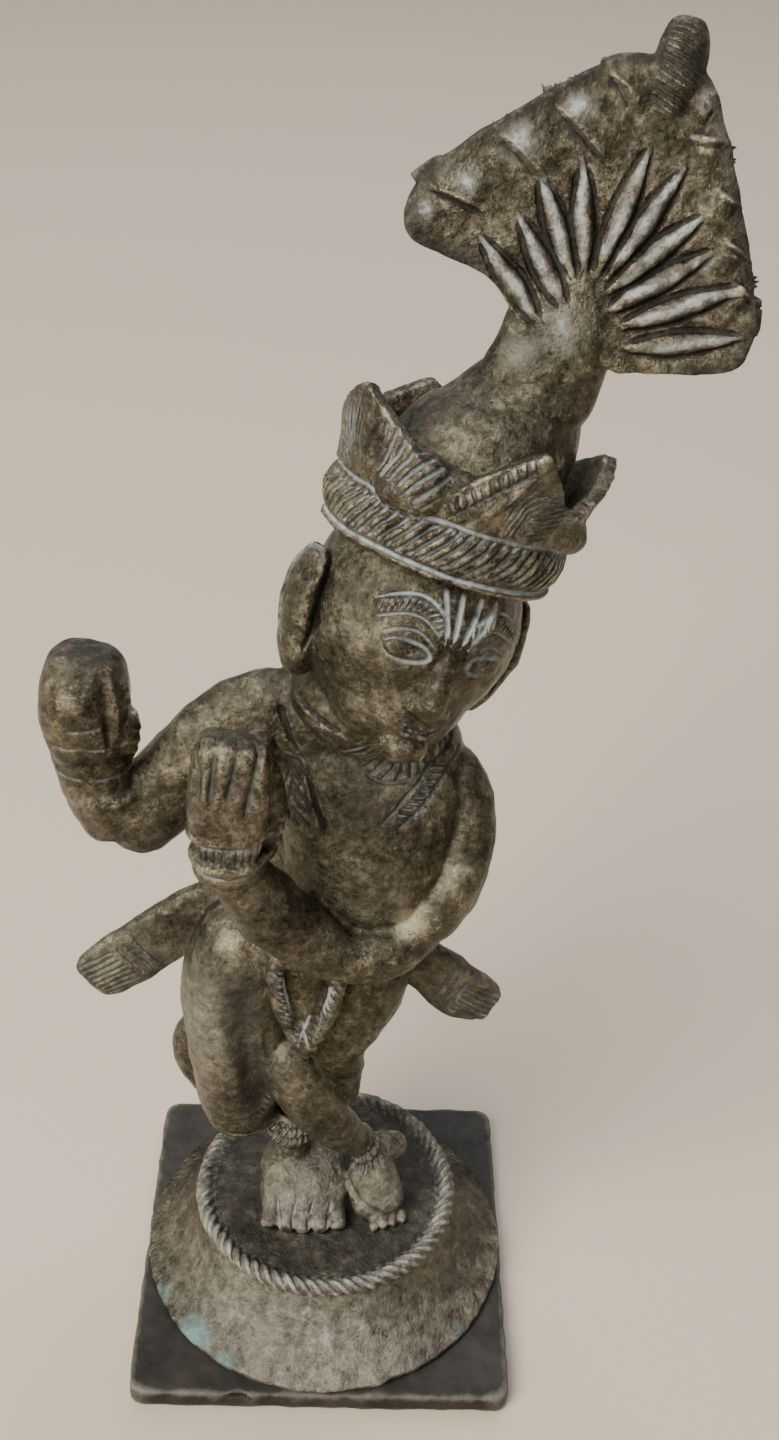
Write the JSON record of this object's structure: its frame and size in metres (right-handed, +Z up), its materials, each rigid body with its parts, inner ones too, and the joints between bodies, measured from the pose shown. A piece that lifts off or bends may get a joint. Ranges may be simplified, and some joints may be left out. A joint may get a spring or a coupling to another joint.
{
  "type": "brass deity figurine",
  "caption": "Small cast brass folk figurine of a flute-playing deity with crossed legs, raised hands, leaf crown and peacock fan, on a round pedestal over a thin square plate.",
  "frame": {"origin": "middle of the square plate's underside, where the figurine stands", "axes": "+Z up, the figure faces -Y, +X is to the figure's left"},
  "size_m": [0.0553, 0.038, 0.1264],
  "materials": {
    "figure_on_round_pedestal": "aged olive-brown patina, rubbed bright on raised parts, dark grime and pale chalky residue in the incised lines, a little verdigris at the seams",
    "square_base_plate": "dark brown-black tarnish with worn edges"
  },
  "bodies": {
    "root": {"figure_on_round_pedestal": "figure_on_round_pedestal", "square_base_plate": "square_base_plate"}
  },
  "joints": []
}
